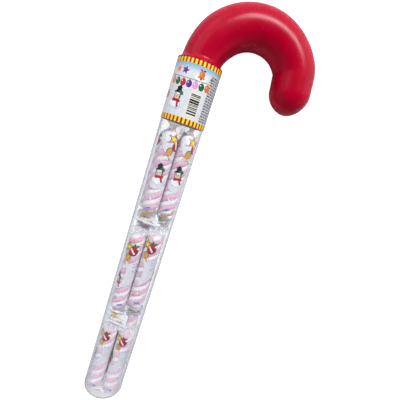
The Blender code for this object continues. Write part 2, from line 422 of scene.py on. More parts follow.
def linear(colour):
    """Screen colour, 0 to 255, as the linear RGBA that a shader takes."""
    shares = [part / 255.0 for part in colour]
    curve = [share / 12.92 if share <= 0.04045 else ((share + 0.055) / 1.055) ** 2.4 for share in shares]
    return (*curve, 1.0)


def finish(name, main, second, spots, gloss, grain, **constants):
    """A mottled material; gloss is (low, high) roughness, grain is (scale, depth) of the bump."""
    material = bpy.data.materials.new(name)
    material.use_nodes = True
    tree = material.node_tree
    shader = tree.nodes["Principled BSDF"]
    mottle = ("node_tree", MOTTLE)
    spread = ("node_tree", SPREAD)
    colour = node(tree, "Group", mottle, Main=linear(main), Second=linear(second), Scale=spots, Reach=1.0)
    rough = node(tree, "Group", spread, Low=gloss[0], High=gloss[1], Scale=spots * GLOSS_SPOTS)
    height = node(tree, "Group", spread, Low=0.0, High=1.0, Scale=grain[0])
    bump = node(tree, "Bump", Strength=1.0, Distance=grain[1])
    wire(
        tree, (colour, "Color", shader, "Base Color"), (rough, "Value", shader, "Roughness"),
        (height, "Value", bump, "Height"), (bump, "Normal", shader, "Normal"),
    )
    set_inputs(shader, constants)
    return material


print("recipe ready")

# %% [markdown]
# ## The floor
#
# A plain pale table, which isn't part of the pack. It glows a
# little for the camera alone, as a table lit from below does, so that the shadows on it stay pale.

# %% The floor
FLOOR_SIZE = 4.0
FLOOR_DROP = 0.05 * MM
FLOOR_GLOW = (0.98, 0.98, 0.98, 1.0)


def table_finish():
    """Pale white with a glow that only the camera sees."""
    material = finish(
        "table_white", (196, 196, 198), (192, 192, 195), 6.0, (0.7, 0.8), (900.0, 0.02 * MM),
        Emission_Color=FLOOR_GLOW,
    )
    tree = material.node_tree
    path = node(tree, "LightPath")
    wire(tree, (path, "Is Camera Ray", tree.nodes["Principled BSDF"], "Emission Strength"))
    return material


bpy.ops.mesh.primitive_plane_add(size=FLOOR_SIZE, location=(0.0, 0.0, -FLOOR_DROP))
floor = settle(bpy.context.object)
floor.name = "white_table"
floor.data.materials.append(table_finish())
print("floor size in m:", FLOOR_SIZE)

# %% [markdown]
# ## The red hook
#
# On the real pack the hook is a hollow moulding: a plug that sits in the tube's mouth, a thin collar, a
# cone-like shoulder, a thick bend and a rounded tip. A bent cylinder or a curve with a bevel would keep one
# thickness. A swept ring can swell and taper on its way, and its rings can crowd where the bend is tight.

# %% Sizes of the hook
HOOK_SKIN = 0.25 * MM
BEND_START = TUBE_MOUTH + 0.8 * MM
BEND_ARCS = ((55.9 * MM, 86.6), (52.4 * MM, 61.1), (24.6 * MM, 23.9))
HOOK_STRAIGHT = 17.1 * MM
HOOK_RADII = (22.1 * MM, 24.0 * MM, 23.8 * MM, 23.2 * MM, 23.2 * MM)
NECK_HEIGHT = 3.6 * MM
HOOK_TIP_LENGTH = 24.4 * MM
HOOK_TIP_FULLNESS = 1.85
HOOK_TIP_RINGS = 22
HOOK_SIDES = 96
HOOK_SOFTNESS = 0.5
HOOK_SOFT_REACH = 12.0 * MM
HOOK_SOFT_COLOURS = (1.0, 0.15, 0.2)
RING_SPACING = 1.6 * MM
COLLAR_PROFILE = (
    (22.4, -9.7), (23.5, -8.5), (23.7, -8.0), (23.7, 0.3), (24.9, 0.3), (25.3, 0.5), (25.4, 0.8),
    (25.4, 1.2), (25.25, 1.5), (24.9, 1.75), (24.3, 2.0), (23.5, 2.5), (22.9, 3.1), (22.4, 3.8),
)


def ahead(heading):
    """The step of length one that a heading takes on the table."""
    return Vector((math.cos(heading), math.sin(heading), 0.0))


def hook_walk():
    """Points on the bend's middle line as (place, heading, distance), stepping along its arcs."""
    place = Vector((0.0, BEND_START, 0.0))
    heading = math.pi / 2.0
    distance = 0.0
    walk = [(place.copy(), heading, distance)]
    for radius, degrees in BEND_ARCS:
        angle = math.radians(degrees)
        steps = math.ceil(radius * angle / RING_SPACING)
        turn = angle / steps
        chord = 2.0 * radius * math.sin(turn / 2.0)
        for _ in range(steps):
            place += chord * ahead(heading - turn / 2.0)
            heading -= turn
            distance += radius * turn
            walk.append((place.copy(), heading, distance))
    steps = math.ceil(HOOK_STRAIGHT / RING_SPACING)
    for step in range(1, steps + 1):
        on = HOOK_STRAIGHT * step / steps
        walk.append((place + ahead(heading) * on, heading, distance + on))
    return walk


def eased_radius(share):
    """The bar's radius at a share of its length, eased between the given radii."""
    place = min(share, 1.0) * (len(HOOK_RADII) - 1)
    index = min(int(place), len(HOOK_RADII) - 2)
    ease = 0.5 - 0.5 * math.cos(math.pi * (place - index))
    return HOOK_RADII[index] + (HOOK_RADII[index + 1] - HOOK_RADII[index]) * ease - HOOK_SKIN


# %% Model the hook
def hook_stations():
    """Every ring of the hook, from the plug to the tip."""
    walk = hook_walk()
    length = walk[-1][2]
    bar = [(place, heading, eased_radius(on / length)) for place, heading, on in walk if on >= NECK_HEIGHT]
    dip = min((SLEEVE_RADIUS - radius) / place.x for place, _, radius in bar if place.x > RING_SPACING)
    place, heading, radius = bar[-1]
    for ring in range(1, HOOK_TIP_RINGS):
        share = math.sin(0.5 * math.pi * ring / HOOK_TIP_RINGS)
        left = (1.0 - share ** HOOK_TIP_FULLNESS) ** (1.0 / HOOK_TIP_FULLNESS)
        bar.append((place + ahead(heading) * (HOOK_TIP_LENGTH * share), heading, radius * left))
    stations = [on_axis(TUBE_MOUTH + high * MM, wide * MM) for wide, high in COLLAR_PROFILE]
    heading_before = math.pi / 2.0
    for place, heading, radius in bar:
        middle = AXIS + Vector((place.x, place.y, -place.x * dip))
        stations.append((middle, radius, radius, heading - heading_before))
        heading_before = heading
    return stations


def hook_handle():
    """Sweep the hook and shut its two ends."""
    stations = hook_stations()
    hook = swept("hook_moulding", HOOK_SIDES, stations, turn_axis="Z")
    bpy.ops.mesh.merge(type="CENTER")
    tip = stations[-1][0]
    foot = stations[0][0].y
    close_ends(hook, lambda co: co.y < foot + 0.01 * MM, lambda co: False)
    smooth(hook, 40.0)
    print("hook tip at mm:", [round(part / MM, 1) for part in tip])
    return hook


hook = hook_handle()
hook.data.materials.append(
    finish(
        "red_moulding", (187, 1, 45), (178, 1, 39), 90.0, (0.22, 0.28), (420.0, 0.006 * MM),
        Specular_IOR_Level=0.2, Subsurface_Weight=HOOK_SOFTNESS, Subsurface_Scale=HOOK_SOFT_REACH,
        Subsurface_Radius=HOOK_SOFT_COLOURS,
    )
)
belongs(hook, "red_plastic", "hook_handle")

# %% [markdown]
# ## The clear tube
#
# A thin hard cup with a rounded foot, open where the hook plugs in. Modelled as one swept skin and thickened
# by Solidify, because light catches on both faces of the wall. Seen flat on, such plastic is almost
# invisible, and it turns milky towards its edges, so its alpha follows how far the surface turns away. Its
# grey colour shows there as a painted grey line of shade along the edges. It holds back much less light
# than it shows: for shadow rays the alpha is only a small share. The foot's rounding has a dark grey finish,
# a painted shade that draws a dark outline round the foot.

# %% The clear tube
SHADOW_SHARE = 0.16
CLEAR_SPOTS = 150.0
PLASTIC_IOR = 1.5
TUBE_SIDES = 128
TUBE_RINGS = 24
TUBE_WALL = 0.8 * MM
TUBE_GLOSS = (0.05, 0.09)
TUBE_GRAIN = (120.0, 0.02 * MM)
FOOT_ROUNDING = 2.5 * MM
FOOT_RINGS = 8
FOOT_FLAT_RINGS = (12.0 * MM, 3.0 * MM)


def clear_finish(name, colour, faint, strong, start, gloss, grain):
    """See-through plastic: alpha is faint face on, and rises to strong once it turns past a start share."""
    material = finish(name, colour, colour, CLEAR_SPOTS, gloss, grain, IOR=PLASTIC_IOR)
    tree = material.node_tree
    edge = node(tree, "LayerWeight", Blend=0.5)
    rise = node(tree, "MapRange", From_Min=start, To_Min=faint, To_Max=strong)
    path = node(tree, "LightPath")
    held_back = node(tree, "MapRange", To_Min=1.0, To_Max=SHADOW_SHARE)
    both = node(tree, "Math", MULTIPLY)
    wire(
        tree, (edge, "Facing", rise, "Value"), (path, "Is Shadow Ray", held_back, "Value"),
        (rise, "Result", both, 0), (held_back, "Result", both, 1),
        (both, "Value", tree.nodes["Principled BSDF"], "Alpha"),
    )
    return material


def tube_stations():
    """Rings from the mouth to the foot, then round the foot's edge and in to the middle."""
    length = TUBE_MOUTH - TUBE_FOOT - FOOT_ROUNDING
    rings = [(TUBE_RADIUS, TUBE_MOUTH - length * step / TUBE_RINGS) for step in range(TUBE_RINGS + 1)]
    for step in range(1, FOOT_RINGS + 1):
        angle = math.pi / 2.0 * step / FOOT_RINGS
        wide = TUBE_RADIUS - FOOT_ROUNDING * (1.0 - math.cos(angle))
        rings.append((wide, TUBE_FOOT + FOOT_ROUNDING * (1.0 - math.sin(angle))))
    rings += [(wide, TUBE_FOOT) for wide in FOOT_FLAT_RINGS]
    return [on_axis(y, wide) for wide, y in rings]


tube = swept("tube_shell", TUBE_SIDES, tube_stations())
bpy.ops.mesh.merge(type="CENTER")
face_outwards()
use_modifier(tube, "SOLIDIFY", thickness=TUBE_WALL, offset=-1.0)
smooth(tube, 50.0)
# The grey of the clear plastic paints a grey line of shade along the tube's edges, and the dark grey foot
# finish is painted shade round the foot.
tube_clear = clear_finish("tube_clear", (200, 203, 216), 0.03, 0.66, 0.38, TUBE_GLOSS, TUBE_GRAIN)
tube_foot_painted_shade = clear_finish("tube_foot_painted_shade", (66, 68, 80), 0.20, 0.96, 0.18, TUBE_GLOSS, TUBE_GRAIN)
for plastic in (tube_clear, tube_foot_painted_shade):
    tube.data.materials.append(plastic)
for face in tube.data.polygons:
    face.material_index = int(face.center.y < TUBE_FOOT + FOOT_ROUNDING)
belongs(tube, "clear_plastic", "clear_tube")
print("tube faces:", len(tube.data.polygons))

# %% [markdown]
# ## A marshmallow twist
#
# Four soft strands, two pink and two cream, are laid side by side and twisted to the right. One ring is
# swept up the twist while it turns, a full turn every 26 mm, and shrinks into a dome at both ends. Grooves
# are then pressed in between four lobes, and each face takes pink or cream by the strand that it lies on.

# %% Sizes of a twist
LAYER_NAMES = ("lower", "middle", "upper")
LAYER_PITCH = 120.8 * MM
LOWEST_TWIST_END = 9.2 * MM
PLACE_NAMES = ("front_left", "front_right", "back_right", "back_left")
PLACE_ANGLES = {
    "lower": (57, -48, -134, 143),
    "middle": (50, -40, -130, 140),
    "upper": (33, -57, -147, 123),
}
WRAPPED_RIDGE = 9.7 * MM
LOWEST_RIDGES = (10.1 * MM, 10.1 * MM, 8.9 * MM, 8.9 * MM)
TUBE_ROOM = 1.1 * MM
TWIST_RIDGE = 9.58 * MM
TWIST_GROOVE = 8.3 * MM
TWIST_STRANDS = 4
TWIST_LEAD = 26 * MM
TWIST_LENGTH = 97.5 * MM
TWIST_SIDES = 48
TWIST_STEP = 0.9 * MM
LOBE_FULLNESS = 0.6
END_ROUNDING = 6.5 * MM
END_FULLNESS = 2.3
END_LEAST = 0.05
END_RINGS = 8
END_STRETCH = 0.08 * TWIST_LENGTH
UPPER_FLAP = 9 * MM
LOWER_FLAP = 13.5 * MM
LOWEST_FLAP = 7.2 * MM
# Front twists that slipped down in the tube, as (slip, length, upper flap, lower flap)
SLIPPED_TWISTS = {
    "middle_front_left": (9 * MM, 100 * MM, 9 * MM, 20 * MM),
    "lower_front_left": (4.9 * MM, 87.9 * MM, 7.5 * MM, 2.5 * MM),
    "lower_front_right": (4.9 * MM, 87.9 * MM, 7.5 * MM, 2.5 * MM),
}


def strand_angle(co):
    """The angle of a place round the twist, counted from its first strand."""
    return math.atan2(co.x, co.z) - 2.0 * math.pi * co.y / TWIST_LEAD


def lobe(angle):
    """The twist's radius at an angle, as a share of its ridge."""
    depth = (TWIST_RIDGE - TWIST_GROOVE) / TWIST_RIDGE
    return 1.0 - depth * (1.0 - abs(math.sin(angle * TWIST_STRANDS / 2.0)) ** LOBE_FULLNESS)


def end_share(height):
    """How much of its width the twist has left near an end."""
    missing = max(0.0, 1.0 - min(height, TWIST_LENGTH - height) / END_ROUNDING)
    return max(END_LEAST, (1.0 - missing ** END_FULLNESS) ** 0.5)


# %% Model one twist
def plain_twist():
    """One twist along Y at the origin, as a swept ring with lobes."""
    steps = round(TWIST_LENGTH / TWIST_STEP)
    ends = [END_STRETCH * (0.5 - 0.5 * math.cos(math.pi * ring / END_RINGS)) for ring in range(END_RINGS)]
    middle = TWIST_LENGTH - 2.0 * END_STRETCH
    heights = ends + [END_STRETCH + middle * step / steps for step in range(steps)]
    heights += [TWIST_LENGTH - height for height in reversed(ends)]
    stations = []
    before = 0.0
    for height in heights:
        wide = TWIST_RIDGE * end_share(height)
        turn = 2.0 * math.pi * (height - before) / TWIST_LEAD
        stations.append((Vector((0.0, height, 0.0)), wide, wide, turn))
        before = height
    twist = swept("plain_twist", TWIST_SIDES, stations)
    close_ends(twist, lambda co: co.y < 0.01 * MM, lambda co: co.y > TWIST_LENGTH - 0.01 * MM)
    for vertex in twist.data.vertices:
        share = lobe(strand_angle(vertex.co))
        vertex.co.x *= share
        vertex.co.z *= share
    return twist


twist_mould = plain_twist()
print("faces of a twist:", len(twist_mould.data.polygons))

# %% [markdown]
# ## Finish of the marshmallow
#
# Marshmallow is matt and slightly see-through, dusted with starch. Pink and cream are two materials, because
# the strands are two doughs. A little subsurface light softens the grooves, and the bump is fine and dry.

# %% Finish of the marshmallow
SOFT_LIGHT = {
    "Subsurface_Weight": 0.5, "Subsurface_Scale": 5.0 * MM, "Subsurface_Radius": (1.0, 0.85, 0.8),
}
STARCH_GLOSS = (0.75, 0.95)
STARCH_GRAIN = (1500.0, 0.05 * MM)
DOUGHS = {
    "marshmallow_pink": ((224, 173, 197), (217, 152, 185), 45.0),
    "marshmallow_cream": ((233, 232, 232), (228, 225, 223), 60.0),
}
for dough, colours in DOUGHS.items():
    twist_mould.data.materials.append(finish(dough, *colours, STARCH_GLOSS, STARCH_GRAIN, **SOFT_LIGHT))
for face in twist_mould.data.polygons:
    strand = math.floor(strand_angle(face.center) / (2.0 * math.pi / TWIST_STRANDS))
    face.material_index = strand % len(DOUGHS)
smooth(twist_mould, 75.0)
print("doughs:", ", ".join(DOUGHS))

# %% [markdown]
# ## Twelve twists in three layers
#
# The twists stand four to a layer round the tube's axis, and each layer is turned a little, so that slivers
# of the back ones show beside the front ones. The lowest front ones are pressed wide, and three have slipped
# down. Each copy gets its own turn and its own slow unevenness, and the tops of the upper layer are pulled
# out to a point, as soft sugar is when it is cut.

# %% Twelve twists in three layers
STRAND_TURNS = {
    "upper_front_left": 45.0, "upper_front_right": 168.0,
    "middle_front_left": 40.0, "middle_front_right": 15.0,
    "lower_front_left": 120.0, "lower_front_right": 112.0,
}
BACK_STRAND_STEP = 67.0
UNEVEN_SIZE = 14.0 * MM
UNEVEN_DEPTH = 0.08 * MM
UNEVEN_STEP = 0.3
PULLED_TOPS = {
    "upper_front_left": 20.0 * MM, "upper_front_right": 18.0 * MM,
    "upper_back_right": 18.0 * MM, "upper_back_left": 18.0 * MM,
}
PULLED_END = 0.30
PULLED_FULLNESS = 0.8


def pulled_share(key, from_top):
    """How much of its width is left where a twist's top was pulled out to a point."""
    length = PULLED_TOPS.get(key, 0.0)
    if from_top >= length:
        return 1.0
    share = max(from_top, 0.0) / length
    return PULLED_END + (1.0 - PULLED_END) * share ** PULLED_FULLNESS


def place_list():
    """Every twist's name, layer and place, its middle, bottom and size share, its slip, length and flaps."""
    places = []
    for layer, layer_name in enumerate(LAYER_NAMES):
        steady = (0.0, TWIST_LENGTH, UPPER_FLAP, LOWEST_FLAP if layer == 0 else LOWER_FLAP)
        for place, place_name in enumerate(PLACE_NAMES):
            key = f"{layer_name}_{place_name}"
            ridge = LOWEST_RIDGES[place] if layer == 0 else WRAPPED_RIDGE
            angle = math.radians(PLACE_ANGLES[layer_name][place])
            reach = TUBE_RADIUS - TUBE_ROOM - ridge
            slip, length, upper_flap, lower_flap = SLIPPED_TWISTS.get(key, steady)
            places.append({
                "key": key, "layer": layer_name, "place": place_name, "size": ridge / WRAPPED_RIDGE,
                "middle": AXIS + reach * Vector((-math.sin(angle), 0.0, math.cos(angle))),
                "bottom": TUBE_FOOT + LOWEST_TWIST_END + layer * LAYER_PITCH - slip,
                "slip": slip, "length": length, "upper_flap": upper_flap, "lower_flap": lower_flap,
            })
    return places


TWIST_PLACES = place_list()


def lay_twist(number, place):
    """One coloured twist, fitted to its length, turned and placed, a little uneven."""
    twist = copy_of(twist_mould, f"marshmallow_{place['key']}")
    turn = math.radians(STRAND_TURNS.get(place["key"], BACK_STRAND_STEP * number))
    middle = place["middle"]
    for vertex in twist.data.vertices:
        height = vertex.co.y * place["length"] / TWIST_LENGTH
        uneven = noise.noise((vertex.co + Vector((0.0, number * UNEVEN_STEP, 0.0))) / UNEVEN_SIZE)
        pinch = 1.0 - (UNEVEN_DEPTH / TWIST_RIDGE) * (1.0 + uneven)
        pulled = pulled_share(place["key"], place["length"] - height)
        wide = math.hypot(vertex.co.x, vertex.co.z) * place["size"] * pinch * pulled
        strand_turn = 2.0 * math.pi * (height - vertex.co.y - place["slip"]) / TWIST_LEAD
        angle = math.atan2(vertex.co.x, vertex.co.z) + turn + strand_turn
        vertex.co.x = middle.x + wide * math.sin(angle)
        vertex.co.z = middle.z + wide * math.cos(angle)
        vertex.co.y = place["bottom"] + height
    twist.data.update()
    belongs(twist, "wrapped_marshmallow", f"wrapped_twist_{place['key']}")
    return twist


for number, place in enumerate(TWIST_PLACES):
    lay_twist(number, place)
bpy.data.objects.remove(twist_mould)
print("twists laid:", len(TWIST_PLACES))

# %% [markdown]
# ## The shape of a wrapper
#
# Each twist is packed in a tube of thin film, pressed flat and sealed at both ends. Film and print must
# stay in register, so both are made flat or straight first, and then carried to the pack by one and the
# same rule: round along the twist, and flattened into a wide flap beyond its ends, with small wrinkles. The
# uppermost flaps stay open as far as the sleeve.

# %% The shape of a wrapper
FILM_RADIUS = 9.66 * MM
FILM_WRINKLE = 0.05 * MM
FLAP_HALF = 0.25 * MM
FLAP_RUN_IN = 0.4
OPEN_START = 16.0 * MM
OPEN_RUN_IN = 30.0 * MM
OPEN_CALM = 0.3
PLEATS = 11.0
PLEAT_DEPTH = 0.2 * MM
FLAP_RIPPLE = 0.2 * MM
WRINKLE_TURNS = 3.0
WRINKLE_PITCH = 5.0 * MM
WANDER = 3.0
WANDER_SCALE = 0.6
RIPPLE_TURNS = 1.3
RIPPLE_PITCH = 6.0 * MM
RIPPLE_SEED = 9.0
CRIMP_PITCH = 1.3 * MM
CRIMP_DEPTH = 0.06 * MM
FLAP_LINES = {
    "front_left": ((-20.5, 9.0), (5.5, 16.8)),
    "front_right": ((-1.4, 12.0), (21.3, 4.6)),
    "back_right": ((20.5, -1.5), (7.5, -20.0)),
    "back_left": ((4.0, -19.5), (-20.0, -8.0)),
}


def own_height(height, place):
    """The place's own height for a height on the plain film, stretch by stretch."""
    if height < 0.0:
        return height * place["lower_flap"] / LOWER_FLAP
    if height < TWIST_LENGTH:
        return height * place["length"] / TWIST_LENGTH
    return place["length"] + (height - TWIST_LENGTH) * place["upper_flap"] / UPPER_FLAP


def flatness(height, place):
    """0 along the twist, 1 in a sealed flap."""
    below = -height / (min(place["lower_flap"], LOWER_FLAP) * FLAP_RUN_IN)
    above = (height - place["length"]) / (place["upper_flap"] * FLAP_RUN_IN)
    if place["layer"] == "upper":
        above = (height - place["length"] + OPEN_START) / OPEN_RUN_IN
    share = min(1.0, max(0.0, below, above))
    return share * share * (3.0 - 2.0 * share)


def film_place(place, seed):
    """The rule that carries (angle, own height, lift) to a place on the wrapper."""
    left, right = [AXIS + Vector((x * MM, 0.0, z * MM)) for x, z in FLAP_LINES[place["place"]]]
    flap_middle = (left + right) / 2.0
    flap_half_width = (right - left).length / 2.0
    flap_tilt = math.atan2(left.z - right.z, right.x - left.x)

    def carry(angle, height, lift):
        flat = flatness(height, place)
        is_open = place["layer"] == "upper" and height > 0.0
        along = Vector((angle * WRINKLE_TURNS, height / WRINKLE_PITCH, seed))
        wander = WANDER * (OPEN_CALM if is_open else 1.0) * noise.noise(along * WANDER_SCALE)
        pleats = PLEAT_DEPTH * 4.0 * flat * (1.0 - flat) * math.sin(PLEATS * angle + wander)
        along_flap = Vector((angle * RIPPLE_TURNS, height / RIPPLE_PITCH, seed + RIPPLE_SEED))
        ripple = FLAP_RIPPLE * flat * noise.noise(along_flap)
        if not is_open:
            ripple += CRIMP_DEPTH * flat * flat * math.sin(2.0 * math.pi * height / CRIMP_PITCH)
        turned = math.remainder(angle, 2.0 * math.pi)
        ramp = turned / (math.pi / 2.0)
        if abs(ramp) > 1.0:
            ramp = math.copysign(2.0 - abs(ramp), ramp)
        across = math.sin(turned) * (1.0 - flat) + ramp * flat
        round_part = (FILM_RADIUS * place["size"] + FILM_WRINKLE * noise.noise(along)) * (1.0 - flat)
        wide = round_part + flap_half_width * flat
        thick = round_part + pleats * (1.0 - flat) + FLAP_HALF * flat
        side = math.cos(turned)
        x = wide * across + lift * math.sin(turned) * (1.0 - flat)
        z = thick * side + lift * (side * (1.0 - flat) + math.copysign(1.0, side) * flat) + ripple
        tilt = flap_tilt * flat
        centre = place["middle"].lerp(flap_middle, flat)
        return Vector((
            centre.x + x * math.cos(tilt) + z * math.sin(tilt),
            place["bottom"] + height,
            centre.z - x * math.sin(tilt) + z * math.cos(tilt),
        ))

    return carry


print("flap lines for", ", ".join(FLAP_LINES))

# %% [markdown]
# ## Finishes of the film and its print
#
# The film is clear with a faint milky shine, milkier in the lowest layer and greyer in the upper flap, where
# it lies double, and its lower flap is printed white. All inks come from one recipe with slight unevenness.

# %% Finishes of the film and its print
FILM_GLOSS = (0.22, 0.34)
FILM_GRAIN = (500.0, 0.02 * MM)
FILM_CLEAR = clear_finish("film_clear", (244, 244, 250), 0.12, 0.60, 0.1, FILM_GLOSS, FILM_GRAIN)
FILM_MILKY = clear_finish("film_milky", (246, 246, 250), 0.26, 0.66, 0.1, FILM_GLOSS, FILM_GRAIN)
FILM_FLAP = clear_finish("film_flap", (220, 221, 227), 0.45, 0.75, 0.1, FILM_GLOSS, FILM_GRAIN)
FILM_WHITE = finish("film_white", (246, 246, 250), (240, 240, 246), 200.0, (0.25, 0.4), (700.0, 0.02 * MM))
INK_COLOURS = {
    "haze": (231, 230, 236), "snow": (250, 250, 254), "hill": (228, 230, 234), "white": (252, 252, 252),
    "cream": (240, 235, 222), "mist": (208, 208, 211), "grey": (88, 88, 98), "black": (14, 15, 20),
    "ice": (150, 196, 232), "blue": (70, 116, 204), "sky": (140, 186, 218), "purple": (96, 50, 150),
    "red": (196, 16, 48), "wine": (150, 12, 44), "orange": (222, 116, 40), "salmon": (238, 136, 116),
    "pink": (240, 158, 206), "gold": (220, 164, 70), "amber": (244, 194, 44), "yellow": (254, 236, 24),
    "green": (20, 110, 70),
}
INKS = {}
for ink_name, colour in INK_COLOURS.items():
    darker = tuple(part * 0.95 for part in colour)
    INKS[ink_name] = finish(f"ink_{ink_name}", colour, darker, 420.0, (0.22, 0.34), (900.0, 0.01 * MM))
print("inks:", len(INKS))

# %% [markdown]
# ## Flat shapes for the print
#
# Printed pictures are layers of simple flat shapes: bars, discs, wedges and stars. They are modelled flat on
# the table, cut into narrow slices so that they can bend, and only then wrapped round a film or the sleeve.
# A later shape lies a hair's breadth higher than an earlier one.

# %% Flat shapes for the print
INK_STEP = 0.02 * MM
STAR_POINTS = 5
STAR_INNER = 0.45


def inked(shape, ink, layer):
    """Settle a flat shape at its ink's height and give it the ink."""
    shape.location.z = layer * INK_STEP
    settle(shape)
    shape.data.materials.append(INKS[ink])
    return shape


def flat_shape(add, x, y, wide, high, ink, layer, turn, **settings):
    """A flat primitive from its operator, at a place, with a size and a turn, in mm and degrees."""
    bpy.ops.object.select_all(action="DESELECT")
    add(location=(x * MM, y * MM, 0.0), rotation=(0.0, 0.0, math.radians(turn)), **settings)
    shape = bpy.context.object
    shape.scale = (wide * MM, high * MM, 1.0)
    return inked(shape, ink, layer)


def disc(x, y, wide, high, ink, layer, turn=0.0, corners=20):
    """A filled disc or oval."""
    settings = {"vertices": corners, "radius": 0.5, "fill_type": "NGON"}
    return flat_shape(bpy.ops.mesh.primitive_circle_add, x, y, wide, high, ink, layer, turn, **settings)


def wedge(x, y, wide, high, ink, layer, turn=0.0):
    """A wedge that points up: a disc with three corners."""
    return disc(x, y, wide, high, ink, layer, turn, corners=3)


def bar(x, y, wide, high, ink, layer, turn=0.0):
    """A filled rectangle."""
    return flat_shape(bpy.ops.mesh.primitive_plane_add, x, y, wide, high, ink, layer, turn, size=1.0)


def star(x, y, size, ink, layer, turn=0.0):
    """A star: a disc whose every second corner is pulled in."""
    shape = disc(0.0, 0.0, size, size, ink, layer, corners=2 * STAR_POINTS)
    for vertex in list(shape.data.vertices)[1::2]:
        vertex.co.x *= STAR_INNER
        vertex.co.y *= STAR_INNER
    shape.location = (x * MM, y * MM, 0.0)
    shape.rotation_euler = (0.0, 0.0, math.radians(turn))
    return settle(shape)


def rounded(corners):
    """An outline whose corners are cut off twice, which rounds them."""
    for _ in range(2):
        cut = []
        for here, after in zip(corners, corners[1:] + corners[:1]):
            cut.append(tuple(0.75 * a + 0.25 * b for a, b in zip(here, after)))
            cut.append(tuple(0.25 * a + 0.75 * b for a, b in zip(here, after)))
        corners = tuple(cut)
    return corners


def patch(corners, ink, layer):
    """A filled outline from its corner points, in mm."""
    mesh = bpy.data.meshes.new("patch")
    mesh.from_pydata([(x * MM, y * MM, 0.0) for x, y in corners], [], [tuple(range(len(corners)))])
    shape = bpy.data.objects.new("patch", mesh)
    bpy.context.collection.objects.link(shape)
    return inked(shape, ink, layer)


def slices(shape, step_x, step_y):
    """Cut a flat shape into narrow strips both ways, so that it can bend."""
    spans = []
    for axis, step in ((0, step_x), (1, step_y)):
        places = [vertex.co[axis] for vertex in shape.data.vertices]
        spans.append((axis, min(places), max(places), step))
    edit(shape)
    for axis, low, high, step in spans:
        normal = Vector((1.0 - axis, float(axis), 0.0))
        count = math.ceil((high - low) / step)
        for cut in range(1, count):
            bpy.ops.mesh.select_all(action="SELECT")
            bpy.ops.mesh.bisect(plane_co=normal * (low + (high - low) * cut / count), plane_no=normal)
    bpy.ops.object.mode_set(mode="OBJECT")
    return shape


print("flat shapes ready")

# %% [markdown]
# ## Scattered marks
#
# Snow dots, short strokes and dashed outlines fill a print between its pictures. Dots and strokes fall at
# seeded chance places, so that every run draws the same ones, and dashes follow an oval.

# %% Scattered marks
DOT_REACH = 28.0
DOT_SIZES = (1.0, 2.0)
STROKE_LENGTHS = (1.0, 2.2)
STROKE_WIDTH = 0.6
STROKE_LEAN = 60.0
DASH_SIZE = (1.7, 0.5)


def snow_dots(number, low, high, seed):
    """White dots scattered between two heights."""
    draw = random.Random(seed)
    dots = []
    for _ in range(number):
        x = draw.uniform(-DOT_REACH, DOT_REACH)
        y = draw.uniform(low, high)
        size = draw.uniform(*DOT_SIZES)
        dots.append(disc(x, y, size, size, "white", 4, corners=8))
    return dots


def strokes(number, x, y, wide, high, ink, seed):
    """Short slanting strokes of one ink in a small area."""
    draw = random.Random(seed)
    drawn = []
    for _ in range(number):
        at_x = x + draw.uniform(-0.5, 0.5) * wide
        at_y = y + draw.uniform(-0.5, 0.5) * high
        long = draw.uniform(*STROKE_LENGTHS)
        drawn.append(bar(at_x, at_y, long, STROKE_WIDTH, ink, 3, draw.uniform(-STROKE_LEAN, STROKE_LEAN)))
    return drawn


def dashes(x, y, wide, high, count, ink, layer):
    """Dashes along the lower half of an oval."""
    drawn = []
    for dash in range(count):
        angle = math.pi * (1 + (dash + 0.5) / count)
        across = wide * math.cos(angle)
        up = high * math.sin(angle)
        heading = math.degrees(math.atan2(high * math.cos(angle), -wide * math.sin(angle)))
        drawn.append(bar(x + across / 2, y + up / 2, *DASH_SIZE, ink, layer, heading))
    return drawn


print("marks ready")

# %% [markdown]
# ## Motifs
#
# Generic winter motifs in the colours of such packs: a red parcel with a gold star, bell and holly, a lantern
# on snow, a present, a fir and an orange bell. Each motif is a few handfuls of flat shapes round its own
# middle. A shape's numbers are its place, width and height in mm, its ink's layer and its turn in degrees.

# %% Motifs


def motif(name, parts):
    """Join a motif's shapes."""
    return settle(join(name, parts))


def parcel():
    """A round red parcel with a white band, behind a gold star, a gold bell and holly."""
    parts = [
        disc(2.4, 0.2, 9.8, 11, "black", 1, -20), disc(2.4, 0.2, 8.7, 9.9, "red", 2, -20),
        disc(3.8, -1.2, 5, 6.4, "wine", 2.5, -20), bar(1, 0.8, 1.7, 9.4, "white", 3, 35),
        star(-3.4, 4.6, 12.2, "black", 3), star(-3.4, 4.6, 10.2, "gold", 4),
        star(-3.4, 4.6, 4.6, "yellow", 5),
        disc(-2.6, -6.6, 6, 7.4, "black", 1), disc(-2.6, -6.6, 4.9, 6.3, "gold", 2),
        bar(-2.6, -9.2, 6.6, 1.3, "gold", 3), disc(-2.6, -10.5, 1.8, 1.8, "orange", 4),
        disc(6.6, 3.6, 2.8, 2.8, "white", 4), disc(5.4, 5.4, 4.8, 2.5, "green", 5, 35),
        disc(3.2, 6.6, 4.2, 2.3, "green", 5, 100), disc(4.5, 4.7, 1.8, 1.8, "red", 6),
    ]
    for x, y, turn in ((-7.8, 0.2, -55), (-1.2, 11.2, -15), (1.4, 11, 22), (-5.8, 10.4, 30),
                       (-5, -11.4, -30), (-0.8, -12.2, 14)):
        parts.append(bar(x, y, 0.7, 4.4, "gold", 3, turn))
    return motif("parcel", parts)


